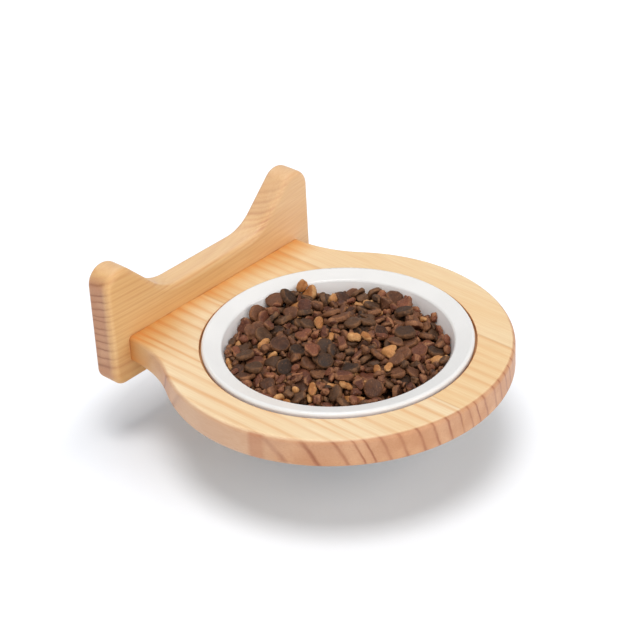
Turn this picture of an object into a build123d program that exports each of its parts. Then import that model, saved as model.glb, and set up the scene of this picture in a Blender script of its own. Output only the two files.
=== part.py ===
from build123d import *
from math import cos, floor, radians, sin, sqrt, tan
import os

# Wall-mounted cat feeder: a round pine shelf stands out from an upright pine plate with two ears,
# and a wide-rimmed ceramic bowl lies in a stepped hole in the shelf and lifts out of it.
# Sizes are in millimetres and angles in degrees. The wall is the plane Y = 0, the feeder reaches
# out along -Y, +X is to the right of someone who faces the wall, and +Z is up.
# The origin is the middle of the plate's back.

# Bowl
rim_diameter = 136.0
rim_width = 10.0            # level distance from the rim's outside to the inner wall
rim_slope = 15.5            # rim's top, falling towards the inner wall
rim_thickness = 4.5
rim_stand = 1.8             # how far the rim stands above the wood
rim_edge_radius = 1.5
bowl_height = 42.0
bowl_wall = 4.0
bowl_floor = 4.0
bowl_lean = 15.0            # inner wall, from upright
bowl_cove_radius = 18.0     # inside, where the wall turns into the floor
foot_height = 2.0
foot_width = 5.0
foot_inset = 1.0            # from where the floor starts to turn up
foot_edge_radius = 0.7

# Shelf
shelf_margin = 19.0         # wood outside the counterbore
shelf_thickness = 15.0
shelf_edge_radius = 2.3
rim_to_plate = 16.5
neck_radius = 66.3          # hollow side between the round part and the plate
hole_edge_radius = 0.5

# Wall plate
plate_thickness = 15.5
plate_side_margin = 10.7    # plate beside the neck, on each side
plate_drop = 11.0           # plate below the shelf
saddle_rise = 14.0          # saddle between the ears, above the shelf
ear_rise = 25.0             # ear tips above the saddle
ear_radius = 10.0
ear_slope = 44.5            # inner flank of an ear, from level
saddle_radius = 24.5        # where the saddle turns up into an ear
plate_foot_radius = 6.5
plate_edge_radius = 3.0

# Clearances
rim_gap = 1.0               # round the rim, in the counterbore
body_gap = 1.2              # round the bowl's body, in the hole
dowel_gap = 0.05
glue_space = 1.0            # behind each end of a dowel
head_gap = 0.05             # under a countersunk head
shank_gap = 0.25            # round a screw's plain shank
hanger_gap = 0.4            # round a hanger plate, in its recess

# Shelf screws and dowels
screw_inset = 35.0          # from the neck's side to a screw's axis
screw_head_radius = 4.0
screw_head_height = 2.6
screw_shank_radius = 2.0
screw_core_radius = 1.4
screw_pitch = 1.8
screw_end_skin = 4.0        # wood between a screw's tip and the bowl's hole
dowel_inset = 15.0
dowel_radius = 3.0
dowel_in_shelf = 21.0
dowel_skin = 5.5            # wood left behind a dowel hole in the plate
dowel_chamfer = 0.8
dowel_flutes = 10
flute_radius = 0.35

# Keyhole hangers
hanger_inset = 15.5         # from the plate's side to a hanger's centre line
hanger_top_margin = 14.0    # from the ear's tip to the hanger's upper end
hanger_length = 40.0
hanger_width = 16.0
hanger_thickness = 1.5
hanger_corner_radius = 3.0
keyhole_radius = 4.6
keyhole_slot_radius = 2.3
keyhole_travel = 9.0
keyhole_lift = 0.5          # middle of the keyhole above the middle of the hanger
head_pocket_depth = 5.0     # behind the hanger, for the head of the wall screw
head_pocket_side = 0.8
hanger_screw_inset = 4.5    # from the hanger's end
hanger_screw_head_radius = 3.0
hanger_screw_radius = 1.5
hanger_screw_core_radius = 1.0
hanger_screw_pitch = 1.3
hanger_screw_neck = 0.8     # plain shank between the head and the thread
hanger_screw_skin = 3.5     # wood in front of the screw's tip

# Levels above the origin
plate_height = plate_drop + shelf_thickness + saddle_rise + ear_rise
plate_top = plate_height / 2
plate_bottom = -plate_height / 2
shelf_bottom = plate_bottom + plate_drop
shelf_top = shelf_bottom + shelf_thickness
saddle_top = shelf_top + saddle_rise
joint_level = (shelf_bottom + shelf_top) / 2
rim_top = shelf_top + rim_stand
seat_level = rim_top - rim_thickness
bowl_bottom = rim_top - bowl_height

# Bowl widths
rim_radius = rim_diameter / 2
rim_edge = min(rim_edge_radius, 0.45 * rim_thickness)
rim_corner_level = rim_top + rim_edge * (tan(radians(rim_slope)) + 1 / cos(radians(rim_slope)) - 1)
bowl_mouth_radius = rim_radius - rim_width
mouth_level = rim_corner_level - rim_width * tan(radians(rim_slope))
wall_run = tan(radians(bowl_lean))
wall_offset = bowl_wall / cos(radians(bowl_lean))
body_radius = bowl_mouth_radius - (mouth_level - seat_level) * wall_run + wall_offset

# Shelf plan
seat_radius = rim_radius + rim_gap
hole_radius = body_radius + body_gap
shelf_radius = seat_radius + shelf_margin
shelf_reach = rim_radius + rim_to_plate
bowl_axis_y = -(plate_thickness + shelf_reach)
neck_centre_x = sqrt((shelf_radius + neck_radius) ** 2 - shelf_reach ** 2)
neck_half_width = neck_centre_x - neck_radius
plate_half_width = neck_half_width + plate_side_margin

# Joint between shelf and plate
screw_x = neck_half_width - screw_inset
screw_bite = shelf_reach - sqrt(hole_radius ** 2 - screw_x ** 2) - screw_end_skin
screw_length = plate_thickness + screw_bite
dowel_x = neck_half_width - dowel_inset
dowel_start = dowel_skin + glue_space
dowel_length = plate_thickness - dowel_start + dowel_in_shelf

# Hangers
hanger_x = plate_half_width - hanger_inset
hanger_z = plate_top - hanger_top_margin - hanger_length / 2
keyhole_z = hanger_z + keyhole_lift
hanger_screw_reach = hanger_length / 2 - hanger_screw_inset
hanger_screw_length = plate_thickness - hanger_screw_skin


def from_wall(x, z, depth=0.0):
    """A place on the plate's back: local X is right, local Y is up and local Z goes away from the wall."""
    return Plane.XZ * Pos(x, z, depth)


def drill(radius, x, z, start, length):
    """A round hole from one depth behind the plate's back, going away from the wall."""
    return from_wall(x, z, start + length / 2) * Cylinder(radius, length)


def countersink(wide, narrow, x, z, depth):
    """A conical seat that opens at the plate's back."""
    return from_wall(x, z, depth / 2) * Cone(wide, narrow, depth)


def plate_outline():
    """Plate seen from the front, as a face with rounded lower corners, ears and saddle."""
    slope = radians(ear_slope)
    ear_centre_x = plate_half_width - ear_radius
    ear_centre_z = plate_top - ear_radius
    flank_x = ear_centre_x - ear_radius * sin(slope)
    flank_z = ear_centre_z + ear_radius * cos(slope)
    ear_corner_z = flank_z + (plate_half_width - flank_x) * tan(slope)
    saddle_corner_x = flank_x - (flank_z - saddle_top) / tan(slope)
    right = [
        (plate_half_width, plate_bottom),
        (plate_half_width, ear_corner_z),
        (saddle_corner_x, saddle_top),
    ]
    left = [(-x, z) for x, z in reversed(right)]
    radii = [plate_foot_radius, ear_radius, saddle_radius]
    return make_face(FilletPolyline(*right, *left, radius=radii + radii[::-1], close=True))


def wall_plate():
    plate = extrude(Plane.XZ * plate_outline(), plate_thickness)
    plate = fillet(plate.faces().filter_by(Axis.Y).edges(), plate_edge_radius)
    for side in (-1, 1):
        x = side * hanger_x
        recess = RectangleRounded(
            hanger_width + 2 * hanger_gap,
            hanger_length + 2 * hanger_gap,
            hanger_corner_radius + hanger_gap,
        )
        plate -= from_wall(x, hanger_z) * extrude(recess, hanger_thickness)
        pocket = SlotCenterToCenter(keyhole_travel, 2 * (keyhole_radius + head_pocket_side), rotation=90)
        plate -= from_wall(x, keyhole_z) * extrude(pocket, hanger_thickness + head_pocket_depth)
        for end in (-1, 1):
            plate -= drill(
                hanger_screw_core_radius, x, hanger_z + end * hanger_screw_reach, 0, hanger_screw_length
            )
        plate -= drill(
            screw_shank_radius + shank_gap, side * screw_x, joint_level, 0, plate_thickness
        )
        plate -= countersink(
            screw_head_radius + head_gap, screw_shank_radius + head_gap, side * screw_x, joint_level, screw_head_height
        )
        plate -= drill(
            dowel_radius + dowel_gap, side * dowel_x, joint_level, dowel_skin, plate_thickness - dowel_skin
        )
    return plate


def shelf_outline():
    """Shelf seen from above, with its straight rear edge on the plate's front face."""
    rear_y = -plate_thickness
    turn = Vector(neck_centre_x, shelf_reach).get_angle(Vector(1, 0))
    rear = Line((-neck_half_width, rear_y), (neck_half_width, rear_y))
    right_neck = CenterArc((neck_centre_x, rear_y), neck_radius, 180, turn)
    front = CenterArc((0, bowl_axis_y), shelf_radius, 180 - turn, 180 + 2 * turn)
    left_neck = CenterArc((-neck_centre_x, rear_y), neck_radius, -turn, turn)
    return make_face([rear, right_neck, front, left_neck])


def shelf_board():
    board = Pos(0, 0, shelf_bottom) * extrude(shelf_outline(), shelf_thickness)
    board = fillet(board.edges().filter_by(GeomType.CIRCLE), shelf_edge_radius)
    seat_depth = shelf_top - seat_level
    hole = Pos(0, bowl_axis_y, joint_level) * Cylinder(hole_radius, shelf_thickness)
    counterbore = Pos(0, bowl_axis_y, shelf_top - seat_depth / 2) * Cylinder(seat_radius, seat_depth)
    board -= hole + counterbore
    lips = board.edges().filter_by(GeomType.CIRCLE).filter_by(
        lambda e: abs(e.radius - seat_radius) < 0.01 and abs(e.center().Z - shelf_top) < 0.01
        or abs(e.radius - hole_radius) < 0.01
    )
    board = fillet(lips, hole_edge_radius)
    for side in (-1, 1):
        board -= drill(screw_core_radius, side * screw_x, joint_level, plate_thickness, screw_bite)
        board -= drill(
            dowel_radius + dowel_gap,
            side * dowel_x,
            joint_level,
            plate_thickness,
            dowel_in_shelf + glue_space,
        )
    return board


def feeding_bowl():
    """Turned profile from the middle of the inner floor, over the rim, to the middle of the underside."""
    inner_floor = bowl_bottom + foot_height + bowl_floor
    outer_floor = bowl_bottom + foot_height
    inner_corner = bowl_mouth_radius - (mouth_level - inner_floor) * wall_run
    outer_corner = bowl_mouth_radius - (mouth_level - outer_floor) * wall_run + wall_offset
    turn = radians(90 + bowl_lean)
    flat_radius = inner_corner - bowl_cove_radius * tan((radians(180) - turn) / 2)
    foot_outer = flat_radius - foot_inset
    foot_inner = foot_outer - foot_width
    corners = [
        ((inner_corner, inner_floor), bowl_cove_radius),
        ((bowl_mouth_radius, mouth_level), rim_edge),
        ((rim_radius, rim_corner_level), rim_edge),
        ((rim_radius, seat_level), rim_edge),
        ((body_radius, seat_level), body_gap / 2),
        ((outer_corner, outer_floor), bowl_cove_radius + bowl_wall),
        ((foot_outer, outer_floor), 0),
        ((foot_outer, bowl_bottom), foot_edge_radius),
        ((foot_inner, bowl_bottom), foot_edge_radius),
        ((foot_inner, outer_floor), 0),
    ]
    points = [(0, inner_floor)] + [point for point, radius in corners] + [(0, outer_floor)]
    skin = FilletPolyline(*points, radius=[radius for point, radius in corners])
    profile = make_face([skin, Line((0, outer_floor), (0, inner_floor))])
    return Pos(0, bowl_axis_y, 0) * revolve(Plane.XZ * profile, Axis.Z)


def hanger_plate(side):
    sheet = RectangleRounded(hanger_width, hanger_length, hanger_corner_radius)
    sheet -= Pos(0, keyhole_lift) * SlotCenterToCenter(keyhole_travel, 2 * keyhole_slot_radius, rotation=90)
    sheet -= Pos(0, keyhole_lift - keyhole_travel / 2) * Circle(keyhole_radius)
    plate = from_wall(side * hanger_x, hanger_z) * extrude(sheet, hanger_thickness)
    for end in (-1, 1):
        plate -= countersink(
            hanger_screw_head_radius + head_gap,
            hanger_screw_radius + head_gap,
            side * hanger_x,
            hanger_z + end * hanger_screw_reach,
            hanger_thickness,
        )
    return plate


def wood_screw(head_radius, head_height, shank_radius, core_radius, length, thread_start, pitch):
    """Countersunk screw along +Z, with its head's face at Z = 0 and a cross recess."""
    tip_length = 3 * core_radius
    ridges = floor((length - tip_length - thread_start) / pitch)
    profile = [
        (0, 0),
        (head_radius, 0),
        (shank_radius, head_height),
        (shank_radius, thread_start),
        (core_radius, thread_start),
    ]
    for ridge in range(ridges):
        start = thread_start + ridge * pitch
        profile += [(core_radius, start + 0.3 * pitch), (shank_radius, start + 0.6 * pitch)]
        profile += [(core_radius, start + 0.9 * pitch)]
    profile += [(core_radius, length - tip_length), (0, length)]
    screw = revolve(Plane.XZ * make_face(Polyline(*profile, close=True)), Axis.Z)
    recess_arm = 1.2 * head_radius
    recess_width = 0.3 * head_radius
    recess_depth = 0.7 * head_height
    for arm in (Box(recess_arm, recess_width, recess_depth), Box(recess_width, recess_arm, recess_depth)):
        screw -= Pos(0, 0, recess_depth / 2) * arm
    return screw


def shelf_screws():
    screw = wood_screw(
        screw_head_radius,
        screw_head_height,
        screw_shank_radius,
        screw_core_radius,
        screw_length,
        plate_thickness,
        screw_pitch,
    )
    return Compound(children=[from_wall(side * screw_x, joint_level) * screw for side in (-1, 1)])


def hanger_screws():
    screw = wood_screw(
        hanger_screw_head_radius,
        hanger_thickness,
        hanger_screw_radius,
        hanger_screw_core_radius,
        hanger_screw_length,
        hanger_thickness + hanger_screw_neck,
        hanger_screw_pitch,
    )
    return Compound(
        children=[
            from_wall(side * hanger_x, hanger_z + end * hanger_screw_reach) * screw
            for side in (-1, 1)
            for end in (-1, 1)
        ]
    )


def dowel_pins():
    dowel = chamfer(Cylinder(dowel_radius, dowel_length).edges(), dowel_chamfer)
    for flute in PolarLocations(dowel_radius, dowel_flutes):
        dowel -= flute * Cylinder(flute_radius, dowel_length)
    middle = dowel_start + dowel_length / 2
    return Compound(children=[from_wall(side * dowel_x, joint_level, middle) * dowel for side in (-1, 1)])


nodes = {
    "wall_plate": wall_plate(),
    "shelf_board": shelf_board(),
    "feeding_bowl": feeding_bowl(),
    "hanger_plate_left": hanger_plate(-1),
    "hanger_plate_right": hanger_plate(1),
    "hanger_screws": hanger_screws(),
    "shelf_screws": shelf_screws(),
    "dowel_pins": dowel_pins(),
}

os.makedirs("parts", exist_ok=True)
for node, shape in nodes.items():
    export_step(shape, f"parts/{node}.step")
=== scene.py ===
"""Looks of the wall-mounted cat feeder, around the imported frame. Metres, +Z up, the wall at Y = 0."""
import math
import random

import bpy
import numpy as np
from mathutils import Matrix, Quaternion, Vector


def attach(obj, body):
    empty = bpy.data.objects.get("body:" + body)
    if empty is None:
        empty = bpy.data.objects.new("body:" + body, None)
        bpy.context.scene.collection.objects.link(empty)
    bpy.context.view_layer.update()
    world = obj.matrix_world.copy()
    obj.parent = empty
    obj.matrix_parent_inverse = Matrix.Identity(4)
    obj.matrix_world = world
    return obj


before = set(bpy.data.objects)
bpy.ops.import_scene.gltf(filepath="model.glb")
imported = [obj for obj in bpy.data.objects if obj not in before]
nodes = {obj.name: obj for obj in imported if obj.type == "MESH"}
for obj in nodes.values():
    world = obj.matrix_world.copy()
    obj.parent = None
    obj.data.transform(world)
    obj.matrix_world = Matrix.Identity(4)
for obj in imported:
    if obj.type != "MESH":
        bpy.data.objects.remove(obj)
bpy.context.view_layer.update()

MM = 0.001

# Camera: the place, aim and roll that a fit to the photograph's outlines gave.
CAMERA_PLACE = Vector((-0.66229909, -0.71406846, 0.56885778))
CAMERA_AIM = Vector((-0.0031403, -0.08692483, 0.00435929))
CAMERA_ROLL = math.radians(-3.059)
CAMERA_LENS = 123.19
CAMERA_SENSOR = 36.0

# Floor and light
FLOOR_LEVEL = -0.069
FLOOR_SIZE = 12.0
WORLD_STRENGTH = 0.50
WORLD_COLOUR = (0.935, 0.99, 1.045, 1.0)
# Soft lights: the direction each comes from, its strength, its spread in degrees and its colour
SUNS = dict(
    key_light=((-0.16, -0.11, 1.0), 1.47, 26.0, (1.045, 1.0, 0.965)),
    front_light=((0.0, -1.0, 0.4), 1.13, 60.0, (1.0, 1.0, 1.0)),
    left_light=((-1.0, 0.0, 0.4), 0.25, 60.0, (1.0, 1.0, 1.0)),
    back_light=((0.0, 1.0, 0.6), 0.21, 60.0, (1.0, 1.0, 1.0)))
# The floor glows faintly away from the shadow. The distance counts from a line that goes from the wall to
# GLOW_LINE in front of it, and behind the wall it counts GLOW_BEHIND times.
GLOW_LINE = 0.10
GLOW_START = 0.068
GLOW_FULL = 0.125
GLOW_STRENGTH = 0.26
GLOW_BEHIND = 3.0

# The bowl's axis in metres, and its inside in mm, from the CAD part
BOWL_AXIS = Vector((0.0, -100.0, 0.0)) * MM
MOUTH_RADIUS = 58.0
MOUTH_LEVEL = -7.0
FLOOR_OF_BOWL = -40.7
COVE_CENTRE = (35.16, -22.7)
COVE_RADIUS = 18.0
FLAT_RADIUS = 20.0
WALL_SLOPE = math.tan(math.radians(15.0))

# Levels in metres between which the glaze turns whiter inside as painted light, and gives way to bare clay on
# the foot
INSIDE_LEVELS = (-0.0070, -0.0085)
FOOT_LEVELS = (-0.04600, -0.04625)


class Graph:
    """Short calls that add shader nodes to one material."""

    def __init__(self, name):
        self.material = bpy.data.materials.new(name)
        self.material.use_nodes = True
        self.tree = self.material.node_tree
        self.shader = self.tree.nodes["Principled BSDF"]

    def add(self, kind, inputs=None, **settings):
        node = self.tree.nodes.new("ShaderNode" + kind)
        for key, value in settings.items():
            setattr(node, key, value)
        for key, value in (inputs or {}).items():
            self.feed(node.inputs[key], value)
        return node

    def feed(self, socket, value):
        if isinstance(value, bpy.types.NodeSocket):
            self.tree.links.new(value, socket)
        else:
            socket.default_value = value

    def math(self, operation, *values, clamp=False):
        node = self.add("Math", dict(enumerate(values)), operation=operation, use_clamp=clamp)
        return node.outputs[0]

    def times(self, first, *others):
        for value in others:
            first = self.math("MULTIPLY", first, value)
        return first

    def length(self, first, second):
        return self.math("SQRT", self.math("ADD", self.times(first, first), self.times(second, second)))

    def vector(self, operation, *values):
        node = self.add("VectorMath", operation=operation)
        for socket, value in zip(node.inputs, values):
            self.feed(socket, value)
        return node.outputs["Value" if operation == "LENGTH" else "Vector"]

    def place(self):
        return self.add("TexCoord").outputs["Object"]

    def noise(self, where, scale, detail=2.0, roughness=0.5):
        inputs = {"Vector": where, "Scale": scale, "Detail": detail, "Roughness": roughness}
        return self.add("TexNoise", inputs).outputs["Fac"]

    def ramp(self, value, stops):
        """A shade of 0 to 1 for each value, with straight runs between the stops."""
        node = self.add("ValToRGB", {"Fac": value})
        elements = node.color_ramp.elements
        while len(elements) < len(stops):
            elements.new(0.5)
        for element, (position, shade) in zip(elements, stops):
            element.position = position
            element.color = grey(shade)
        return node.outputs["Color"]

    def remap(self, value, low, high, new_low=0.0, new_high=1.0):
        inputs = {"Value": value, "From Min": low, "From Max": high, "To Min": new_low, "To Max": new_high}
        return self.add("MapRange", inputs, clamp=True).outputs["Result"]

    def mix(self, share, first, second, blend="MIX"):
        node = self.add("Mix", data_type="RGBA", blend_type=blend, clamp_factor=True)
        for socket, value in zip((node.inputs[0], node.inputs[6], node.inputs[7]), (share, first, second)):
            self.feed(socket, value)
        return node.outputs[2]

    def bump(self, height, strength, distance, normal=None):
        inputs = {"Height": height, "Strength": strength, "Distance": distance}
        if normal is not None:
            inputs["Normal"] = normal
        return self.add("Bump", inputs).outputs["Normal"]

    def finish(self, **inputs):
        for key, value in inputs.items():
            self.feed(self.shader.inputs[key.replace("_", " ")], value)
        return self.material


def srgb(red, green, blue):
    """Shader colour of a screen colour given in steps of 0 to 255."""
    return (*(((c / 255 + 0.055) / 1.055) ** 2.4 if c > 10 else c / 3294.6 for c in (red, green, blue)), 1.0)


def grey(value):
    return (value, value, value, 1.0)


def darker(colour, share):
    return (*(part * share for part in colour[:3]), 1.0)


# Pine. How strong each kind of mark is on the way from one ring to the next: the share of the way, and the
# strength. The places of the dark rings in a board are at LINE_SHARE.
LATE_WOOD = ((0.0, 0.8), (0.07, 0.4), (0.2, 0.08), (0.45, 0.05), (0.72, 0.35), (0.9, 1.0), (1.0, 0.8))
SOFT_LINE = ((0.0, 0.75), (0.10, 0.2), (0.2, 0.0), (0.66, 0.0), (0.84, 0.6), (0.93, 1.0), (1.0, 0.75))
SHARP_LINE = ((0.0, 0.45), (0.05, 0.0), (0.80, 0.0), (0.89, 0.7), (0.94, 1.0), (1.0, 0.45))
FALSE_LINE = ((0.28, 0.0), (0.42, 1.0), (0.48, 1.0), (0.56, 0.0))
LINE_SHARE = 0.93
# How far the noise is shifted from one stave to the next, and how far apart a nook's sides can be for its
# painted shade, in metres
STAVE_SHIFT = 7.3
NOOK_REACH = 0.026


def ring_share(g, board, along, across, height, noise):
    """The share of the way from one ring to the next at each point."""
    pith, late_wood = board["pith"], board["late_wood"]
    drift = g.times(along, g.math("MULTIPLY_ADD", along, board["drift"][1], board["drift"][0]))
    side = g.math("SUBTRACT", across, pith[0])
    rise = g.math("SUBTRACT", g.math("SUBTRACT", height, drift), pith[1])
    radius = g.math("SUBTRACT", g.length(side, rise), math.hypot(*pith))
    wave = g.math("SUBTRACT", noise(0.007, 0.022), 0.5)
    radius = g.math("MULTIPLY_ADD", wave, board["wave"], radius)
    ripple = g.math("SUBTRACT", noise(0.025, 0.16, 11.0), 0.5)
    radius = g.math("MULTIPLY_ADD", ripple, board["ripple"], radius)

    first, last, steps = late_wood[0], late_wood[-1], len(late_wood) - 1
    curve = g.add("FloatCurve", {"Value": g.remap(radius, first, last)})
    points = curve.mapping.curves[0].points
    while len(points) <= steps:
        points.new(0.5, 0.5)
    for count, (point, distance) in enumerate(zip(points, late_wood)):
        point.location = ((distance - first) / (last - first), count / steps)
    curve.mapping.update()
    return g.math("FRACT", g.math("MULTIPLY_ADD", curve.outputs[0], float(steps), LINE_SHARE))


def pine(name, board, tone):
    """Oiled pine as a solid texture: growth rings around a pith that lies along the grain.

    board tells how the rings lie, in mm (see SHELF_BOARD), and tone has the colours."""
    g = Graph(name)
    place = g.vector("SCALE", g.place())
    g.feed(place.node.inputs["Scale"], 1 / MM)
    grain, contrast = board["grain"], board["contrast"]
    parts = g.add("SeparateXYZ", {"Vector": place}).outputs
    along, across, height = parts[grain], parts[1 - grain], parts[2]
    normal = g.add("SeparateXYZ", {"Vector": g.add("TexCoord").outputs["Normal"]}).outputs
    turned = [g.math("ABSOLUTE", part) for part in normal]

    stave, figure, deeper = 0.0, 1.0, 0.0
    for seam, drop, share in board["seams"]:
        beyond = g.math("GREATER_THAN", across, seam)
        stave = g.math("ADD", stave, beyond)
        figure = g.math("MULTIPLY_ADD", beyond, -drop, figure)
        deeper = g.math("MULTIPLY_ADD", beyond, share, deeper)

    def noise(along_scale, across_scale, shift=0.0, detail=2.0, roughness=0.5):
        depth = g.math("MULTIPLY_ADD", height, across_scale, shift)
        inputs = {"X": g.times(along, along_scale), "Y": g.times(across, across_scale),
                  "Z": g.math("MULTIPLY_ADD", stave, STAVE_SHIFT, depth)}
        return g.noise(g.add("CombineXYZ", inputs).outputs[0], 1.0, detail, roughness)

    def zone(limits):
        return g.times(g.remap(along, limits[0], limits[1]), g.remap(across, limits[2], limits[3]))

    ring = ring_share(g, board, along, across, height, noise)
    marks = (LATE_WOOD, SOFT_LINE, SHARP_LINE, FALSE_LINE)
    late, line, sharp, false = (g.ramp(ring, stops) for stops in marks)
    fibre = noise(0.045, 1.5, 5.0, 3.0, 0.7)
    pores = noise(0.5, 2.4, 9.0, 2.0, 0.6)
    cloud = noise(0.010, 0.035, 17.0, 3.0)
    blotch = noise(0.07, 0.11, 23.0)

    # Where the surface cuts the rings, and how strongly they show
    end = g.remap(turned[grain], *board["end_turn"])
    if "end_back" in board:
        end = g.times(end, g.remap(across, *board["end_back"]))
    flank = g.remap(turned[board["side_axis"]], *board["side_turn"])
    figure = g.math("MULTIPLY_ADD", flank, -0.6, figure)
    if "ears" in board:
        low, high, left, right = board["ears"]
        sloping = g.times(g.remap(height, low, high), g.remap(along, left, right),
                          g.remap(turned[2], 0.15, 0.5))
        figure = g.math("MULTIPLY_ADD", sloping, 2.2, figure)
    strength = g.times(g.remap(noise(0.010, 0.045, 3.0), 0.34, 0.66, 0.25, 1.2), figure)
    if "bold" in board:
        strength = g.math("MULTIPLY_ADD", g.times(strength, zone(board["bold"])), 1.5, strength)

    # Faces and flanks
    face = g.mix(g.times(late, strength, contrast[0]), tone["early"], tone["late"])
    face = g.mix(g.times(line, strength, contrast[1]), face, tone["line"])
    face = g.mix(g.times(false, strength, board["between"]), face, tone["late"])
    if board["seams"]:
        face = g.mix(deeper, face, tone["beyond"], "MULTIPLY")
    # Painted shade: the zone near the joint with the plate is painted darker.
    if "near" in board:
        face = g.mix(zone(board["near"]), face, tone["near"], "MULTIPLY")
    face = g.mix(g.times(flank, g.remap(along, *board["side_share"])), face, tone["side"])
    if "patch" in board:
        start, stop, edge = board["patch"]
        patch = g.times(g.remap(along, *start), g.remap(along, *stop), g.remap(across, *edge), flank)
        face = g.mix(patch, face, tone["patch"])

    # End grain
    cut = g.mix(g.remap(blotch, 0.40, 0.62), tone["end"], tone["end_pale"])
    cut = g.mix(g.times(late, contrast[2]), cut, tone["end_late"])
    weight = g.remap(noise(0.02, 0.09, 41.0), 0.35, 0.65, contrast[3], 1.0)
    cut = g.mix(g.times(sharp, weight), cut, tone["end_line"])

    # All over: fibres, clouds, pores, glue lines, and painted shade in the nooks
    colour = g.mix(end, face, cut)
    if "paler" in board:
        colour = g.mix(g.remap(along, *board["paler"], 0.0, 0.55), colour, tone["pale"])
    colour = g.mix(g.remap(fibre, 0.32, 0.72, 0.0, 0.34), colour, tone["fibre"], "MULTIPLY")
    colour = g.mix(g.remap(cloud, 0.3, 0.7, 0.0, 0.5), colour, tone["cloud"], "MULTIPLY")
    colour = g.mix(g.times(g.remap(pores, 0.55, 0.8), end, 0.3), colour, tone["pore"])
    for seam, _, _ in board["seams"]:
        gap = g.math("ABSOLUTE", g.math("SUBTRACT", across, seam))
        colour = g.mix(g.remap(gap, 0.3, 0.9, 0.30, 0.0), colour, tone["seam"])
    # Painted shade: the colour darkens in nooks and corners, where an occlusion node finds nearby surfaces.
    nook = g.add("AmbientOcclusion", {"Distance": NOOK_REACH}, samples=12).outputs["AO"]
    colour = g.mix(g.remap(nook, 0.45, 0.84, 1.0, 0.0), colour, tone["nook_shade"], "MULTIPLY")

    # The joint with the plate and a painted shadow beside it, the bowl's recess and the bevels, both painted
    # shade
    if "joint" in board:
        joint = board["joint"]
        # Painted shadow: a band of the shelf along the joint is painted darker, where the plate shades it.
        soak = g.remap(g.math("MULTIPLY_ADD", cloud, 14.0, along), joint - 12.0, joint + 7.0)
        colour = g.mix(soak, colour, tone["soak"], "MULTIPLY")
        fleck = g.times(late, g.remap(along, joint - 18.0, joint - 2.0), g.remap(cloud, 0.35, 0.6, 0.15, 0.7))
        colour = g.mix(fleck, colour, tone["fleck"])
        uneven = noise(0.2, 0.09, 31.0, 3.0)
        crack = g.remap(g.math("MULTIPLY_ADD", uneven, 0.9, along), joint - 0.35, joint + 0.25)
        colour = g.mix(g.times(crack, g.remap(uneven, 0.4, 0.62, 0.1, 0.9)), colour, tone["crack"])
    # Painted shade: the wall and floor of the recess round the bowl are painted darker, as the shade in the
    # gap.
    if "seat" in board:
        axis, reach, low, high = board["seat"]
        out = g.length(g.math("SUBTRACT", along, axis), across)
        inside = g.times(g.remap(out, reach + 0.25, reach + 0.05), g.remap(height, high, high - 0.4),
                         g.remap(height, low - 0.2, low))
        colour = g.mix(inside, colour, tone["gap"])
    # Painted shade: the plate is painted darker on bevels that face both forward and up, to damp their
    # highlight.
    if "edge" in tone:
        wear_and_bevel_shade = g.times(turned[1], turned[2])
        colour = g.mix(g.remap(wear_and_bevel_shade, 0.1, 0.4, 0.0, 0.9), colour, tone["edge"], "MULTIPLY")

    rough = g.remap(g.math("ADD", fibre, late), 0.3, 1.6, 0.52, 0.42)
    bump = g.bump(g.math("MULTIPLY_ADD", late, 0.35, fibre), 0.22, 0.00012)
    return g.finish(Base_Color=colour, Roughness=rough, Normal=bump, Specular_IOR_Level=0.4,
                    Coat_Weight=0.10, Coat_Roughness=0.34)


# Boards. grain is 0 along X and 1 along Y, and the places and lengths are in mm.
# pith is the ring centre, across the grain and in Z. drift bends the rings upward along the grain, and wave
# and ripple are how far they wander, in long and short swells.
# late_wood has the places of the dark rings, outward from the ring through the origin.
# Each seam is a glue line between staves: its place across the grain, how much fainter the rings are beyond
# it, and how much more of the tone "beyond" the wood has there.
# contrast has the late wood and its lines on the faces, and the late wood and the faintest line on the ends.
# between is that of the false rings.
# A surface looks like end grain as its normal's share along the grain goes over end_turn, and like a flank
# as its share along side_axis goes over side_turn. end_back weakens the end grain near the front edge, and
# side_share is how much of the flank's tone there is along the grain.
# bold is a zone with bolder rings, and near a zone of painted shade by the joint with the plate: between
# which places they come in, along the grain and then across it. patch is a darker block on the flank: where
# it begins and ends along the grain, and where it comes in across it.
# paler is where the wood turns paler along the grain. ears is where the rings stand out on the slopes:
# between which levels, and then between which places along the grain, they come in.
# joint is the plane of the shelf's joint with the plate. seat is the round recess for the bowl, whose wall
# and
# floor are painted darker as shade: its axis along the grain, its radius and its levels.
SHELF_BOARD = dict(
    grain=1, pith=(-460.0, -136.0), drift=(0.0, 0.0), wave=3.0, ripple=1.2,
    late_wood=(-98.0, -90.0, -82.0, -74.4, -66.2, -60.5, -56.6, -50.6, -43.6, -35.6, -28.6, -21.3, -14.0,
               -7.9, -2.7, 3.4, 12.1, 18.1, 24.8, 30.5, 36.0, 42.0, 48.0, 55.0, 62.0, 70.0, 78.0, 86.0),
    seams=((-10.0, 0.2, 1.0), (46.5, 0.5, -0.35)), contrast=(0.45, 0.13, 0.55, 0.3), between=0.0,
    end_turn=(0.15, 0.5), side_axis=0, side_turn=(0.35, 0.8), side_share=(-40.0, -90.0, 0.3, 0.85),
    bold=(-120.0, -50.0, 0.0, -28.0), near=(-50.0, -28.0, -24.0, -42.0),
    patch=((-128.1, -125.9), (-118.4, -120.6), (-76.0, -80.0)),
    joint=-15.5, seat=(-100.0, 69.0, -10.0, -6.8))
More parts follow.
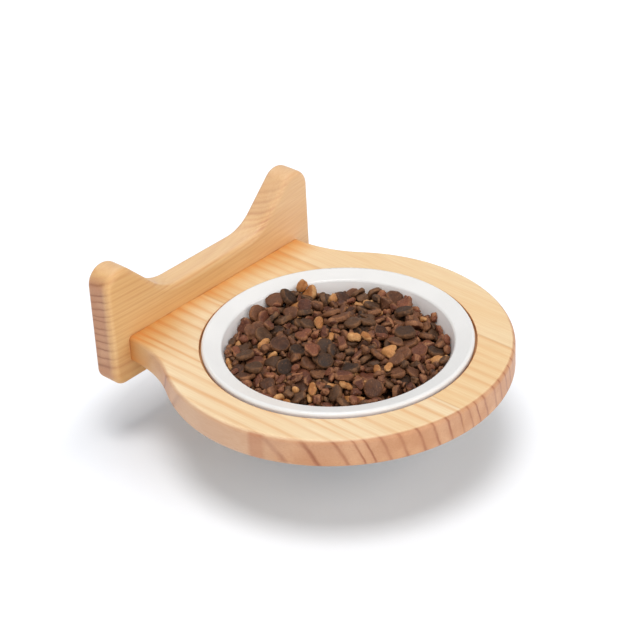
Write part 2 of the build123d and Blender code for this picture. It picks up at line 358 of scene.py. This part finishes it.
PLATE_BOARD = dict(
    grain=0, pith=(10.0, 75.0), drift=(0.055, 0.000875), wave=3.0, ripple=1.4,
    late_wood=(-35.4, -29.0, -22.8, -17.2, -13.6, -9.8, -5.6, -3.0, 1.7, 5.1, 9.5, 14.0, 19.0, 23.6, 40.0),
    seams=(), contrast=(0.36, 0.22, 0.75, 0.35), between=0.3,
    end_turn=(0.6, 0.99), end_back=(-12.8, -10.6, 0.4, 1.0),
    side_axis=2, side_turn=(0.75, 1.0), side_share=(-80.0, 80.0, 0.6, 0.6),
    paler=(0.0, 60.0), ears=(4.0, 12.0, -45.0, 15.0))

# Among the shelf's tones, the ones for nooks, for the band along the joint, for the zone near the joint and
# for the recess are painted shade.
SHELF_TONE = dict(
    early=srgb(241, 221, 185), late=srgb(228, 174, 114), line=srgb(208, 142, 84),
    beyond=srgb(252, 243, 230), near=srgb(240, 225, 203), side=srgb(201, 157, 126), patch=srgb(190, 138, 106),
    end=srgb(199, 150, 113), end_pale=srgb(209, 163, 126), end_late=srgb(184, 128, 92),
    end_line=srgb(157, 97, 65),
    fibre=srgb(226, 196, 158), cloud=srgb(248, 226, 196), pore=srgb(150, 88, 50), seam=srgb(196, 140, 88),
    nook_shade=srgb(248, 214, 164), soak=srgb(236, 220, 193), fleck=srgb(214, 142, 74), crack=srgb(176, 108, 58),
    gap=srgb(206, 152, 102))
# Among the plate's tones, the ones for nooks and for the bevels are painted shade.
PLATE_TONE = dict(
    early=srgb(229, 191, 135), late=srgb(210, 151, 96), line=srgb(192, 122, 75), side=srgb(236, 205, 166),
    end=srgb(190, 140, 105), end_pale=srgb(199, 152, 116), end_late=srgb(166, 110, 72),
    end_line=srgb(138, 85, 50),
    fibre=srgb(226, 194, 156), cloud=srgb(244, 218, 188), pore=srgb(140, 84, 52), nook_shade=srgb(255, 248, 236),
    pale=srgb(234, 202, 164), edge=srgb(248, 244, 242))


def glaze():
    """White glaze with a faint unevenness, bare clay on the foot ring."""
    g = Graph("white_glaze")
    place = g.place()
    swell = g.noise(place, 55.0, 2.0)
    speck = g.noise(place, 900.0, 1.0)
    colour = g.mix(g.remap(swell, 0.3, 0.7), srgb(231, 229, 226), srgb(227, 225, 222))
    colour = g.mix(g.remap(speck, 0.74, 0.80, 0.0, 0.35), colour, srgb(205, 196, 184))
    height = g.add("SeparateXYZ", {"Vector": place}).outputs[2]
    # Painted light: the glaze is painted whiter below the rim, to lift the shade inside the bowl.
    colour = g.mix(g.remap(height, *INSIDE_LEVELS), colour, srgb(247, 244, 241))
    grit = g.noise(place, 2600.0, 2.0)
    bare = g.remap(g.math("MULTIPLY_ADD", swell, 0.0004, height), *FOOT_LEVELS)
    clay = g.mix(grit, srgb(222, 208, 188), srgb(205, 188, 166))
    colour = g.mix(bare, colour, clay)
    rough = g.math("MULTIPLY_ADD", bare, 0.6, g.remap(swell, 0.3, 0.7, 0.16, 0.24))
    bump = g.bump(swell, 0.12, 0.0006)
    bump = g.bump(g.times(grit, bare), 0.3, 0.0002, bump)
    return g.finish(Base_Color=colour, Roughness=rough, Normal=bump, Specular_IOR_Level=0.5)


def steel(name, colour, brushing, rough):
    """Zinc-plated steel with fine brushing."""
    g = Graph(name)
    spot = g.vector("MULTIPLY", g.place(), brushing)
    brush = g.noise(spot, 1.0, 3.0, 0.6)
    patch = g.noise(g.place(), 240.0, 2.0)
    tone = g.mix(g.remap(patch, 0.3, 0.7), colour, darker(colour, 0.82))
    tone = g.mix(g.remap(brush, 0.35, 0.7, 0.0, 0.3), tone, srgb(120, 120, 122))
    return g.finish(Base_Color=tone, Roughness=g.remap(brush, 0.3, 0.7, rough, rough + 0.12), Metallic=1.0,
                    Normal=g.bump(brush, 0.15, 0.00005))


def beech():
    """Plain beech with fine streaks and its short dark flecks."""
    g = Graph("beech")
    streak = g.noise(g.vector("MULTIPLY", g.place(), (1400.0, 120.0, 1400.0)), 1.0, 3.0)
    fleck = g.noise(g.vector("MULTIPLY", g.place(), (2600.0, 500.0, 2600.0)), 1.0, 1.0)
    colour = g.mix(g.remap(streak, 0.3, 0.7), srgb(216, 172, 128), srgb(196, 148, 104))
    colour = g.mix(g.remap(fleck, 0.62, 0.72, 0.0, 0.6), colour, srgb(150, 100, 66))
    return g.finish(Base_Color=colour, Roughness=g.remap(streak, 0.3, 0.7, 0.5, 0.62),
                    Normal=g.bump(streak, 0.2, 0.0001))


HANGER_STEEL = steel("hanger_steel", srgb(196, 198, 200), (300.0, 300.0, 5200.0), 0.28)
SCREW_STEEL = steel("screw_steel", srgb(208, 202, 186), (2400.0, 400.0, 2400.0), 0.3)
NODE_MATERIALS = dict(
    wall_plate=pine("plate_pine", PLATE_BOARD, PLATE_TONE),
    shelf_board=pine("shelf_pine", SHELF_BOARD, SHELF_TONE),
    feeding_bowl=glaze(), hanger_plate_left=HANGER_STEEL, hanger_plate_right=HANGER_STEEL,
    hanger_screws=SCREW_STEEL, shelf_screws=SCREW_STEEL, dowel_pins=beech())
for name, material in NODE_MATERIALS.items():
    slots = nodes[name].material_slots
    if not slots:
        nodes[name].data.materials.append(material)
    for slot in slots:
        slot.material = material


# Dry food, in mm. It is let go in layers: plain pieces for the bottom first, and the crown of the heap last,
# about a place beside the bowl's axis.
FOOD_SEED = 12
FOOD_COUNT = 1396
FOOD_DEEP = 170
FOOD_CROWN = 230
FOOD_CROWN_AT = (3.0, 13.0)
# How far out the pieces are let go, in the crown and below it, and the level of the lowest layer
FOOD_CROWN_REACH = 29.0
FOOD_REACH = 39.5
FOOD_START = -32.0
# Layers: the distance between pieces, how many lie to each side of the middle, and how high a layer is
DEEP_LAYER = (13.4, 3, 12.0)
TOP_LAYER = (10.4, 4, 10.0)
# A piece is plain where another that is less than FOOD_COVER beside it lies more than FOOD_SHOWN higher.
# Crumbs, smaller than FOOD_SMALL, have fewer points.
FOOD_COVER = 7.0
FOOD_SHOWN = 9.5
FOOD_SMALL = 2.0
# Detail of a piece: points around it, where its rings lie on each half, and whether it has fine lumps
PLAIN_MESH = (10, (0.6, 0.92), False)
SMALL_MESH = (20, (0.35, 0.65, 0.85, 0.96), True)
FINE_MESH = (28, (0.25, 0.5, 0.7, 0.83, 0.92, 0.975), True)
# A piece that rests lower or farther out than this has missed the bowl and is left out.
LOST_LEVEL = -48.0
LOST_RADIUS = 62.0

# The drop. Every piece falls at many times its size, where the solver is steady. Its mass is the product of
# its half sizes over MASS_PART.
DROP_SCALE = 100.0
DROP_FRAMES = 64
DROP_SUBSTEPS = 9
DROP_GRAVITY = -45.0
DROP_MARGIN = 0.01
MASS_PART = 40
COVE_TURNS = range(0, 76, 8)
WALL_LEVELS = (-16.0, MOUTH_LEVEL, 10.0, 80.0)
COLLIDER_SIDES = 48

# Colours of the food: dark, light and crumbs
FOOD_COLOURS = dict(
    food_dark=(srgb(50, 32, 21), srgb(104, 71, 47), srgb(156, 108, 70)),
    food_brown=(srgb(65, 38, 24), srgb(123, 78, 51), srgb(176, 119, 77)),
    food_red=(srgb(80, 43, 29), srgb(137, 80, 54), srgb(194, 136, 92)),
    food_tan=(srgb(160, 98, 48), srgb(212, 150, 92), srgb(232, 182, 124)))

# Kinds of food: how many of each, half sizes in mm, power of the outline, lobes and notch of the outline,
# powers of the faces and of the edge, broken sides, lumps and colour shares. A power of 2 is round, and a
# higher one is nearer to a block.
FOOD_KINDS = dict(
    filler=dict(count=0, size=(6.4, 6.0, 3.4), outline=2.0, lobes=0.0, notch=0.0, faces=2.6, edge=2.2,
                broken=(0, 0), rough=0.2, colours=(1, 1, 1, 0)),
    coin=dict(count=13, size=(4.65, 4.5, 1.6), outline=2.0, lobes=0.0, notch=0.0, faces=7.0, edge=3.0,
              broken=(0, 0), rough=0.24, colours=(55, 38, 7, 0)),
    half=dict(count=11, size=(4.6, 4.4, 1.6), outline=2.1, lobes=0.0, notch=0.0, faces=5.0, edge=2.8,
              broken=(1, 2), rough=0.3, colours=(40, 40, 20, 0)),
    heart=dict(count=6, size=(4.5, 4.3, 1.7), outline=2.0, lobes=0.12, notch=0.26, faces=3.6, edge=2.6,
               broken=(0, 0), rough=0.3, colours=(35, 20, 45, 0)),
    rod=dict(count=26, size=(3.6, 1.7, 1.55), outline=2.7, lobes=0.0, notch=0.0, faces=2.3, edge=2.2,
             broken=(0, 1), rough=0.42, colours=(18, 32, 50, 0)),
    nugget=dict(count=50, size=(2.65, 2.05, 1.75), outline=2.4, lobes=0.05, notch=0.0, faces=2.8, edge=2.4,
                broken=(1, 4), rough=0.5, colours=(12, 30, 58, 0)),
    crumb=dict(count=30, size=(1.7, 1.35, 1.1), outline=2.6, lobes=0.05, notch=0.0, faces=2.8, edge=2.4,
               broken=(1, 3), rough=0.35, colours=(15, 30, 48, 7)),
    star=dict(count=3, size=(3.7, 3.6, 1.6), outline=2.0, lobes=0.24, notch=0.0, faces=3.6, edge=2.6,
              broken=(0, 0), rough=0.3, colours=(0, 0, 0, 1)),
    seed=dict(count=4, size=(3.7, 1.9, 1.35), outline=2.0, lobes=0.0, notch=0.0, faces=3.0, edge=2.6,
              broken=(0, 0), rough=0.3, colours=(0, 0, 0, 1)),
    block=dict(count=3, size=(3.2, 2.3, 1.9), outline=3.4, lobes=0.0, notch=0.0, faces=4.0, edge=3.0,
               broken=(0, 2), rough=0.3, colours=(0, 0, 0, 1)))

# Waves in all directions, which add up to lumps
WAVE_COUNT = 16
WAVE_SEED = 3
wave_dice = random.Random(WAVE_SEED)
WAVES = np.array([[wave_dice.gauss(0, 1) for _ in range(3)] for _ in range(WAVE_COUNT)])
stretch = np.array([[wave_dice.uniform(0.7, 1.3)] for _ in range(WAVE_COUNT)])
WAVES *= stretch / np.linalg.norm(WAVES, axis=1)[:, None]
PHASES = np.array([wave_dice.uniform(0, 2 * math.pi) for _ in range(WAVE_COUNT)])


def bumpy(points, length):
    """Smooth noise of about -1 to 1 at points in mm, with bumps of about that length."""
    waves = np.sin(points @ WAVES.T * (2 * math.pi / length) + PHASES)
    return waves.sum(axis=1) * 1.2 / math.sqrt(len(PHASES))


def food_outline(kind, angle):
    """How far out the outline lies at each angle, as a share of the half size."""
    reach = (np.abs(np.cos(angle)) ** kind["outline"] + np.abs(np.sin(angle)) ** kind["outline"])
    reach = reach ** (-1 / kind["outline"]) * (1 + kind["lobes"] * np.cos(3 * angle))
    return reach - kind["notch"] * np.exp(-((angle - math.pi) / 0.42) ** 2)


def food_lump(piece, around, steps, fine):
    """Points and faces of one piece, in mm about its middle, and how worn the piece is at each point."""
    kind = FOOD_KINDS[piece["kind"]]
    angle = 2 * math.pi * np.arange(around) / around
    reach = food_outline(kind, angle)
    share = np.array([*steps, 1.0, *steps[::-1]])
    side = np.array([1.0] * len(steps) + [0.0] + [-1.0] * len(steps))
    ring = np.zeros((len(share), around, 3))
    ring[:, :, 0] = share[:, None] * reach * np.cos(angle)
    ring[:, :, 1] = share[:, None] * reach * np.sin(angle)
    ring[:, :, 2] = (side * (1 - share ** kind["faces"]) ** (1 / kind["edge"]))[:, None]
    points = np.vstack([[[0, 0, 1]], ring.reshape(-1, 3), [[0, 0, -1]]]) * piece["size"]
    wear_and_bevel_shade = np.concatenate([[0.0], np.repeat(np.exp(-((share - 0.97) / 0.06) ** 2), around), [0.0]])
    for direction, kept in piece["broken"]:
        over = points @ direction
        over = np.maximum(0.0, over - kept * over.max())
        points = points - over[:, None] * direction
        wear_and_bevel_shade = np.where(over > 0.15, 0.6, wear_and_bevel_shade)
    outward = points / piece["size"] ** 2
    outward /= np.maximum(np.linalg.norm(outward, axis=1), 1e-6)[:, None]
    spot = points + piece["seed"]
    push = bumpy(spot, 7.0) * kind["rough"]
    if fine:
        push += bumpy(spot, 2.6) * 0.42 * kind["rough"] + bumpy(spot + 40.0, 1.3) * 0.2 * kind["rough"]
    faces = []
    tail = 1 + (len(share) - 1) * around
    for j in range(around):
        k = (j + 1) % around
        faces.append((0, 1 + j, 1 + k))
        for i in range(len(share) - 1):
            top, low = 1 + i * around, 1 + (i + 1) * around
            faces.append((top + j, low + j, low + k, top + k))
        faces.append((tail + j, len(points) - 1, tail + k))
    return points + outward * push[:, None], faces, wear_and_bevel_shade


def choose_food(dice, deep):
    """One piece: its kind, size, broken sides and colour. Deep down it is plain filler."""
    names = list(FOOD_KINDS)
    name = "filler" if deep else dice.choices(names, [FOOD_KINDS[name]["count"] for name in names])[0]
    kind = FOOD_KINDS[name]
    scale = dice.uniform(0.86, 1.14)
    size = np.array([half * scale * dice.uniform(0.94, 1.06) for half in kind["size"]])
    broken = []
    for _ in range(dice.randint(*kind["broken"])):
        rise = 0.35 if name == "half" else 1
        direction = np.array([dice.gauss(0, 1), dice.gauss(0, 1), dice.gauss(0, rise)])
        if name == "rod":
            direction = np.array([dice.choice((-1, 1)), dice.gauss(0, 0.25), dice.gauss(0, 0.25)])
        broken.append((direction / np.linalg.norm(direction), dice.uniform(0.35, 0.85)))
    return dict(kind=name, size=size, broken=broken, seed=np.array([dice.uniform(0, 99) for _ in range(3)]),
                colour=dice.choices(list(FOOD_COLOURS), kind["colours"])[0], tint=dice.uniform(0.1, 0.9))


def food_pieces():
    """The pieces in layers above the bowl, as they are let go."""
    dice = random.Random(FOOD_SEED)
    pieces, level = [], FOOD_START
    while len(pieces) < FOOD_COUNT:
        deep = len(pieces) < FOOD_DEEP
        pitch, steps, layer_height = DEEP_LAYER if deep else TOP_LAYER
        crown = len(pieces) >= FOOD_COUNT - FOOD_CROWN
        widest, middle = (FOOD_CROWN_REACH, FOOD_CROWN_AT) if crown else (FOOD_REACH, (0.0, 0.0))
        grid = [(x * pitch, y * pitch) for x in range(-steps, steps + 1) for y in range(-steps, steps + 1)]
        grid = [spot for spot in grid if math.hypot(spot[0] - middle[0], spot[1] - middle[1]) < widest]
        dice.shuffle(grid)
        for x, y in grid[:(FOOD_DEEP if deep else FOOD_COUNT) - len(pieces)]:
            piece = choose_food(dice, deep)
            shift = [dice.uniform(-0.8, 0.8), dice.uniform(-0.8, 0.8), dice.uniform(-1, 1)]
            piece["place"] = Vector((x, y, level)) + Vector(shift)
            piece["turn"] = Quaternion([dice.gauss(0, 1) for _ in range(4)]).normalized()
            pieces.append(piece)
        level += layer_height
    return pieces


def bowl_collider():
    """The bowl's inside as a turned shell, with its wall drawn on upward to guide what falls."""
    profile = [(0.0, FLOOR_OF_BOWL), (FLAT_RADIUS, FLOOR_OF_BOWL)]
    for degrees in COVE_TURNS:
        t = math.radians(degrees)
        radius = COVE_CENTRE[0] + COVE_RADIUS * math.sin(t)
        profile.append((radius, COVE_CENTRE[1] - COVE_RADIUS * math.cos(t)))
    profile += [(MOUTH_RADIUS + (z - MOUTH_LEVEL) * WALL_SLOPE, z) for z in WALL_LEVELS]
    count = COLLIDER_SIDES
    points = [(r * MM * DROP_SCALE * math.cos(t), r * MM * DROP_SCALE * math.sin(t), z * MM * DROP_SCALE)
              for r, z in profile for t in (2 * math.pi * j / count for j in range(count))]
    faces = []
    for i in range(len(profile) - 1):
        for j in range(count):
            k = (j + 1) % count
            faces.append((i * count + j, i * count + k, (i + 1) * count + k, (i + 1) * count + j))
    mesh = bpy.data.meshes.new("bowl_inside")
    mesh.from_pydata(points, [], faces)
    return bpy.data.objects.new("bowl_inside", mesh)


def drop_food(pieces):
    """Lets the pieces fall into the bowl and writes where each comes to rest."""
    scene = bpy.context.scene
    bpy.ops.rigidbody.world_add()
    world = scene.rigidbody_world
    world.collection = bpy.data.collections.new("falling_food")
    world.substeps_per_frame = DROP_SUBSTEPS
    world.solver_iterations = 8
    world.point_cache.frame_end = DROP_FRAMES
    scene.gravity = (0.0, 0.0, DROP_GRAVITY)
    bowl = bowl_collider()
    world.collection.objects.link(bowl)
    bowl.rigid_body.type = "PASSIVE"
    bowl.rigid_body.collision_shape = "MESH"
    bowl.rigid_body.friction = 0.35
    falling = []
    for piece in pieces:
        points, faces, _ = food_lump(piece, *PLAIN_MESH)
        mesh = bpy.data.meshes.new("falling")
        mesh.from_pydata(points * MM * DROP_SCALE, [], faces)
        body = bpy.data.objects.new("falling", mesh)
        body.location = piece["place"] * MM * DROP_SCALE
        body.rotation_mode = "QUATERNION"
        body.rotation_quaternion = piece["turn"]
        world.collection.objects.link(body)
        rigid = body.rigid_body
        rigid.collision_shape = "CONVEX_HULL"
        rigid.friction = 0.6
        rigid.restitution = 0.0
        rigid.mass = float(np.prod(piece["size"])) / MASS_PART
        rigid.linear_damping = 0.08
        rigid.angular_damping = 0.25
        falling.append(body)
    for body in falling + [bowl]:
        body.rigid_body.use_margin = True
        body.rigid_body.collision_margin = DROP_MARGIN
    scene.collection.children.link(world.collection)
    for step in range(1, DROP_FRAMES + 1):
        scene.frame_set(step)
    graph = bpy.context.evaluated_depsgraph_get()
    for piece, body in zip(pieces, falling):
        rest = body.evaluated_get(graph).matrix_world
        piece["place"] = rest.translation / (MM * DROP_SCALE)
        piece["turn"] = rest.to_quaternion()
    collection = world.collection
    bpy.ops.rigidbody.world_remove()
    for body in falling + [bowl]:
        mesh = body.data
        bpy.data.objects.remove(body)
        bpy.data.meshes.remove(mesh)
    bpy.data.collections.remove(collection)
    scene.frame_set(1)


def food_material(name, dark, light, crumbs):
    """Baked food between a dark and a light colour, with dark pores and with crumbs where it is worn."""
    g = Graph(name)
    local = g.add("Attribute", attribute_name="local").outputs["Vector"]
    tint = g.add("Attribute", attribute_name="tint").outputs["Fac"]
    wear_and_bevel_shade = g.add("Attribute", attribute_name="wear_and_bevel_shade").outputs["Fac"]
    mottle = g.noise(local, 0.35, 3.0, 0.6)
    grain = g.noise(local, 2.2, 3.0, 0.65)
    crumb = g.noise(local, 1.5, 1.0)
    share = g.math("MULTIPLY_ADD", g.math("SUBTRACT", mottle, 0.5), 1.1, tint, clamp=True)
    colour = g.mix(share, dark, light)
    colour = g.mix(g.times(wear_and_bevel_shade, g.remap(mottle, 0.35, 0.65, 0.15, 0.7)), colour, crumbs)
    colour = g.mix(g.remap(grain, 0.34, 0.62, 0.4, 0.0), colour, darker(dark, 0.4))
    colour = g.mix(g.remap(crumb, 0.66, 0.73, 0.0, 0.55), colour, crumbs)
    rough = g.remap(mottle, 0.3, 0.7, 0.5, 0.68)
    bump = g.bump(mottle, 0.4, 0.0005)
    bump = g.bump(grain, 0.5, 0.00025, bump)
    return g.finish(Base_Color=colour, Roughness=rough, Normal=bump, Specular_IOR_Level=0.3)


def build_food(pieces):
    """One object for each colour of food. Only the pieces near the top have all their detail."""
    spots = np.array([piece["place"] for piece in pieces])
    apart = np.hypot(*(spots[:, None, axis] - spots[None, :, axis] for axis in (0, 1)))
    depths = np.where(apart < FOOD_COVER, spots[None, :, 2], -np.inf).max(axis=1) - spots[:, 2]
    for name, colours in FOOD_COLOURS.items():
        points, faces, local, tint, wear_and_bevel_shade = [], [], [], [], []
        base = 0
        for piece, depth in zip(pieces, depths):
            x, y, z = piece["place"]
            if piece["colour"] != name or z < LOST_LEVEL or math.hypot(x, y) > LOST_RADIUS:
                continue
            detail = SMALL_MESH if max(piece["size"]) < FOOD_SMALL else FINE_MESH
            if depth > FOOD_SHOWN:
                detail = PLAIN_MESH
            lump, sides, edge = food_lump(piece, *detail)
            turn = np.array(piece["turn"].to_matrix())
            points.append((lump @ turn.T + np.array(piece["place"])) * MM + np.array(BOWL_AXIS))
            local.append(lump + piece["seed"])
            tint.append(np.full(len(lump), piece["tint"]))
            wear_and_bevel_shade.append(edge)
            faces += [tuple(base + i for i in side) for side in sides]
            base += len(lump)
        mesh = bpy.data.meshes.new(name)
        mesh.from_pydata(np.vstack(points), [], faces)
        own_places = mesh.attributes.new("local", "FLOAT_VECTOR", "POINT")
        own_places.data.foreach_set("vector", np.vstack(local).ravel())
        mesh.attributes.new("tint", "FLOAT", "POINT").data.foreach_set("value", np.concatenate(tint))
        mesh.attributes.new("wear_and_bevel_shade", "FLOAT", "POINT").data.foreach_set("value", np.concatenate(wear_and_bevel_shade))
        mesh.shade_smooth()
        mesh.update()
        food = bpy.data.objects.new(name, mesh)
        bpy.context.scene.collection.objects.link(food)
        mesh.materials.append(food_material(name, *colours))
        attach(food, "bowl")


food = food_pieces()
drop_food(food)
build_food(food)


def floor():
    """A wide pale floor under the feeder."""
    g = Graph("studio_floor")
    cloud = g.noise(g.place(), 1.5, 2.0)
    colour = g.mix(g.remap(cloud, 0.3, 0.7), (0.775, 0.80, 0.84, 1.0), (0.765, 0.79, 0.83, 1.0))
    parts = g.add("SeparateXYZ", {"Vector": g.place()}).outputs
    beyond = g.math("MULTIPLY_ADD", g.math("MAXIMUM", parts[1], 0.0), GLOW_BEHIND,
                    g.math("MINIMUM", g.math("ADD", parts[1], GLOW_LINE), 0.0))
    distance = g.vector("LENGTH", g.add("CombineXYZ", {"X": parts[0], "Y": beyond}).outputs[0])
    glow = g.remap(distance, GLOW_START, GLOW_FULL, 0.0, GLOW_STRENGTH)
    material = g.finish(Base_Color=colour, Roughness=0.9, Specular_IOR_Level=0.0,
                        Emission_Color=grey(1.0), Emission_Strength=glow)
    half = FLOOR_SIZE / 2
    corners = [(-half, -half, 0), (half, -half, 0), (half, half, 0), (-half, half, 0)]
    mesh = bpy.data.meshes.new("studio_floor")
    mesh.from_pydata(corners, [], [(0, 1, 2, 3)])
    mesh.materials.append(material)
    plane = bpy.data.objects.new("studio_floor", mesh)
    plane.location.z = FLOOR_LEVEL
    bpy.context.scene.collection.objects.link(plane)


def facing(place, aim):
    """The turn of a lamp or camera at a place that looks at the aim."""
    return (Vector(place) - Vector(aim)).to_track_quat("Z", "Y")


def studio():
    """Floor, soft lights, world and the photograph's camera."""
    scene = bpy.context.scene
    floor()
    for name, (direction, strength, spread, colour) in SUNS.items():
        lamp = bpy.data.lights.new(name, "SUN")
        lamp.energy = strength
        lamp.angle = math.radians(spread)
        lamp.color = colour
        sun = bpy.data.objects.new(name, lamp)
        sun.rotation_euler = facing(direction, (0.0, 0.0, 0.0)).to_euler()
        scene.collection.objects.link(sun)
    scene.world = bpy.data.worlds.new("studio")
    scene.world.use_nodes = True
    back = scene.world.node_tree.nodes["Background"]
    back.inputs["Color"].default_value = WORLD_COLOUR
    back.inputs["Strength"].default_value = WORLD_STRENGTH
    scene.view_settings.view_transform = "Standard"
    data = bpy.data.cameras.new("camera")
    data.sensor_width = CAMERA_SENSOR
    data.lens = CAMERA_LENS
    camera = bpy.data.objects.new("camera", data)
    turn = facing(CAMERA_PLACE, CAMERA_AIM).to_matrix() @ Matrix.Rotation(CAMERA_ROLL, 3, "Z")
    camera.matrix_world = Matrix.Translation(CAMERA_PLACE) @ turn.to_4x4()
    scene.collection.objects.link(camera)
    scene.camera = camera


studio()
